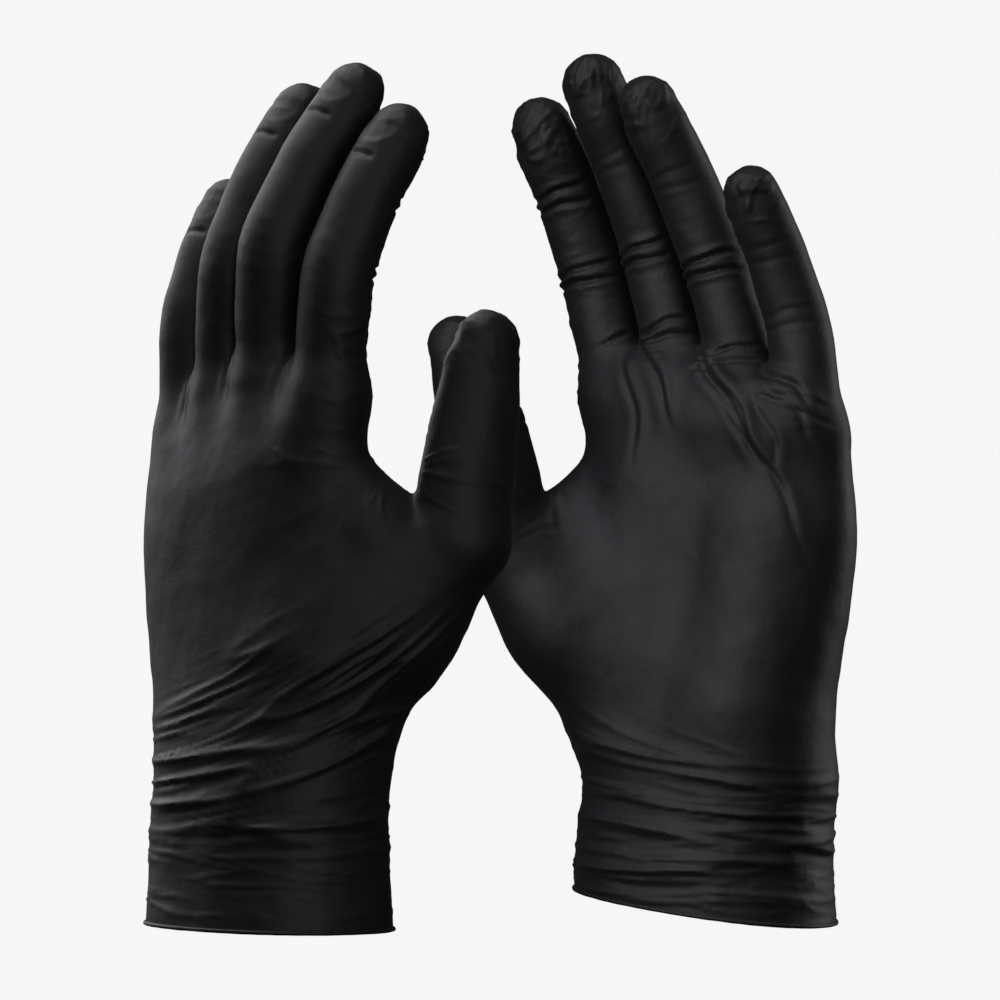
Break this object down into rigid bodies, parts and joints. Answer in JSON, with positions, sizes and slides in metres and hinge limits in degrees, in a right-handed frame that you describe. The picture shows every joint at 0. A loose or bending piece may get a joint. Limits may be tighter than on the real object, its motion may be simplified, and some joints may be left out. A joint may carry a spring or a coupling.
{
  "type": "pair of disposable gloves",
  "caption": "Pair of thin black nitrile gloves standing cuff down as if worn, with rolled cuff beads and films that bend at the wrist, fingers and thumb.",
  "frame": {"origin": "centre of the left glove's cuff mouth, at the level the pair stands on", "axes": "+Z from the cuffs towards the fingertips, +X from the left glove to the right glove, +Y away from the viewer who sees the back of the left glove and the palm of the right glove"},
  "size_m": [0.1984, 0.1012, 0.2421],
  "materials": {
    "film": "satin, softly crinkled black nitrile film",
    "bead": "satin black nitrile, rolled on itself"
  },
  "bodies": {
    "left_cuff": {"left_cuff_bead": "bead", "left_cuff": "film"},
    "left_palm": {"left_palm": "film", "left_thumb_base": "film"},
    "left_thumb_mid": {"left_thumb_mid": "film"},
    "left_thumb_tip": {"left_thumb_tip": "film"},
    "left_index_base": {"left_index_base": "film"},
    "left_index_mid": {"left_index_mid": "film"},
    "left_index_tip": {"left_index_tip": "film"},
    "left_middle_base": {"left_middle_base": "film"},
    "left_middle_mid": {"left_middle_mid": "film"},
    "left_middle_tip": {"left_middle_tip": "film"},
    "left_ring_base": {"left_ring_base": "film"},
    "left_ring_mid": {"left_ring_mid": "film"},
    "left_ring_tip": {"left_ring_tip": "film"},
    "left_little_base": {"left_little_base": "film"},
    "left_little_mid": {"left_little_mid": "film"},
    "left_little_tip": {"left_little_tip": "film"},
    "right_cuff": {"right_cuff_bead": "bead", "right_cuff": "film"},
    "right_palm": {"right_palm": "film", "right_thumb_base": "film"},
    "right_thumb_mid": {"right_thumb_mid": "film"},
    "right_thumb_tip": {"right_thumb_tip": "film"},
    "right_index_base": {"right_index_base": "film"},
    "right_index_mid": {"right_index_mid": "film"},
    "right_index_tip": {"right_index_tip": "film"},
    "right_middle_base": {"right_middle_base": "film"},
    "right_middle_mid": {"right_middle_mid": "film"},
    "right_middle_tip": {"right_middle_tip": "film"},
    "right_ring_base": {"right_ring_base": "film"},
    "right_ring_mid": {"right_ring_mid": "film"},
    "right_ring_tip": {"right_ring_tip": "film"},
    "right_little_base": {"right_little_base": "film"},
    "right_little_mid": {"right_little_mid": "film"},
    "right_little_tip": {"right_little_tip": "film"}
  },
  "joints": [
    {"name": "right_glove_place", "type": "slide", "parent": "left_cuff", "child": "right_cuff", "axis": [1, 0, 0], "range_m": [0, 0.15]},
    {"name": "left_wrist", "type": "hinge", "parent": "left_cuff", "child": "left_palm", "pos_m": [0, 0, 0.045], "axis": [0.766, 0.6428, 0], "range_deg": [-20, 12]},
    {"name": "left_thumb_middle", "type": "hinge", "parent": "left_palm", "child": "left_thumb_mid", "pos_m": [0.05234, -0.02312, 0.10945], "axis": [0.7094, 0.6911, -0.1381], "range_deg": [-32, 8]},
    {"name": "left_thumb_end", "type": "hinge", "parent": "left_thumb_mid", "child": "left_thumb_tip", "pos_m": [0.05702, -0.02181, 0.14007], "axis": [0.7094, 0.6911, -0.1381], "range_deg": [-32, 8]},
    {"name": "left_index_root", "type": "hinge", "parent": "left_palm", "child": "left_index_base", "pos_m": [0.01864, -0.02221, 0.15688], "axis": [-0.6373, 0.7595, 0.1305], "range_deg": [-20, 62]},
    {"name": "left_index_middle", "type": "hinge", "parent": "left_index_base", "child": "left_index_mid", "pos_m": [0.02127, -0.02461, 0.18364], "axis": [-0.6373, 0.7595, 0.1305], "range_deg": [-10, 76]},
    {"name": "left_index_end", "type": "hinge", "parent": "left_index_mid", "child": "left_index_tip", "pos_m": [0.02798, -0.02275, 0.20556], "axis": [-0.6373, 0.7595, 0.1305], "range_deg": [-6, 45.6]},
    {"name": "left_middle_root", "type": "hinge", "parent": "left_palm", "child": "left_middle_base", "pos_m": [0.00438, -0.00755, 0.16], "axis": [-0.6373, 0.7595, 0.1305], "range_deg": [-20, 62]},
    {"name": "left_middle_middle", "type": "hinge", "parent": "left_middle_base", "child": "left_middle_mid", "pos_m": [0.0073, -0.01022, 0.18974], "axis": [-0.6373, 0.7595, 0.1305], "range_deg": [-10, 76]},
    {"name": "left_middle_end", "type": "hinge", "parent": "left_middle_mid", "child": "left_middle_tip", "pos_m": [0.01517, -0.00803, 0.21547], "axis": [-0.6373, 0.7595, 0.1305], "range_deg": [-6, 45.6]},
    {"name": "left_ring_root", "type": "hinge", "parent": "left_palm", "child": "left_ring_base", "pos_m": [-0.00899, 0.00838, 0.15676], "axis": [-0.638, 0.7603, 0.1219], "range_deg": [-20, 62]},
    {"name": "left_ring_middle", "type": "hinge", "parent": "left_ring_base", "child": "left_ring_mid", "pos_m": [-0.00633, 0.006, 0.18554], "axis": [-0.638, 0.7603, 0.1219], "range_deg": [-10, 76]},
    {"name": "left_ring_end", "type": "hinge", "parent": "left_ring_mid", "child": "left_ring_tip", "pos_m": [0.00112, 0.00827, 0.21034], "axis": [-0.638, 0.7603, 0.1219], "range_deg": [-6, 45.6]},
    {"name": "left_little_root", "type": "hinge", "parent": "left_palm", "child": "left_little_base", "pos_m": [-0.02262, 0.0254, 0.14639], "axis": [-0.6427, 0.7659, 0.0175], "range_deg": [-20, 62]},
    {"name": "left_little_middle", "type": "hinge", "parent": "left_little_base", "child": "left_little_mid", "pos_m": [-0.02203, 0.02535, 0.17038], "axis": [-0.6427, 0.7659, 0.0175], "range_deg": [-10, 76]},
    {"name": "left_little_end", "type": "hinge", "parent": "left_little_mid", "child": "left_little_tip", "pos_m": [-0.01759, 0.02864, 0.1896], "axis": [-0.6427, 0.7659, 0.0175], "range_deg": [-6, 45.6]},
    {"name": "right_wrist", "type": "hinge", "parent": "right_cuff", "child": "right_palm", "pos_m": [0.121, 0.032, 0.045], "axis": [-0.5446, -0.8387, 0], "range_deg": [-20, 12]},
    {"name": "right_thumb_middle", "type": "hinge", "parent": "right_palm", "child": "right_thumb_mid", "pos_m": [0.06571, 0.03782, 0.11038], "axis": [-0.4804, -0.8657, -0.1406], "range_deg": [-32, 8]},
    {"name": "right_thumb_end", "type": "hinge", "parent": "right_thumb_mid", "child": "right_thumb_tip", "pos_m": [0.05879, 0.03676, 0.14058], "axis": [-0.4804, -0.8657, -0.1406], "range_deg": [-32, 8]},
    {"name": "right_index_root", "type": "hinge", "parent": "right_palm", "child": "right_index_base", "pos_m": [0.09668, 0.04779, 0.15688], "axis": [0.8101, -0.5261, 0.2588], "range_deg": [-20, 62]},
    {"name": "right_index_middle", "type": "hinge", "parent": "right_index_base", "child": "right_index_mid", "pos_m": [0.09133, 0.05239, 0.18294], "axis": [0.8101, -0.5261, 0.2588], "range_deg": [-10, 76]},
    {"name": "right_index_end", "type": "hinge", "parent": "right_index_mid", "child": "right_index_tip", "pos_m": [0.08385, 0.05155, 0.20467], "axis": [0.8101, -0.5261, 0.2588], "range_deg": [-6, 45.6]},
    {"name": "right_middle_root", "type": "hinge", "parent": "right_palm", "child": "right_middle_base", "pos_m": [0.1146, 0.03794, 0.16], "axis": [0.8101, -0.5261, 0.2588], "range_deg": [-20, 62]},
    {"name": "right_middle_middle", "type": "hinge", "parent": "right_middle_base", "child": "right_middle_mid", "pos_m": [0.10867, 0.04305, 0.18896], "axis": [0.8101, -0.5261, 0.2588], "range_deg": [-10, 76]},
    {"name": "right_middle_end", "type": "hinge", "parent": "right_middle_mid", "child": "right_middle_tip", "pos_m": [0.09988, 0.04206, 0.21447], "axis": [0.8101, -0.5261, 0.2588], "range_deg": [-6, 45.6]},
    {"name": "right_ring_root", "type": "hinge", "parent": "right_palm", "child": "right_ring_base", "pos_m": [0.13205, 0.02661, 0.15676], "axis": [0.8082, -0.5248, 0.2672], "range_deg": [-20, 62]},
    {"name": "right_ring_middle", "type": "hinge", "parent": "right_ring_base", "child": "right_ring_mid", "pos_m": [0.1261, 0.03168, 0.18468], "axis": [0.8082, -0.5248, 0.2672], "range_deg": [-10, 76]},
    {"name": "right_ring_end", "type": "hinge", "parent": "right_ring_mid", "child": "right_ring_tip", "pos_m": [0.11746, 0.03085, 0.20919], "axis": [0.8082, -0.5248, 0.2672], "range_deg": [-6, 45.6]},
    {"name": "right_little_root", "type": "hinge", "parent": "right_palm", "child": "right_little_base", "pos_m": [0.15006, 0.01432, 0.14639], "axis": [0.8218, -0.5337, 0.1994], "range_deg": [-20, 62]},
    {"name": "right_little_middle", "type": "hinge", "parent": "right_little_base", "child": "right_little_mid", "pos_m": [0.1465, 0.01763, 0.16989], "axis": [0.8218, -0.5337, 0.1994], "range_deg": [-10, 76]},
    {"name": "right_little_end", "type": "hinge", "parent": "right_little_mid", "child": "right_little_tip", "pos_m": [0.14097, 0.01627, 0.18906], "axis": [0.8218, -0.5337, 0.1994], "range_deg": [-6, 45.6]}
  ]
}
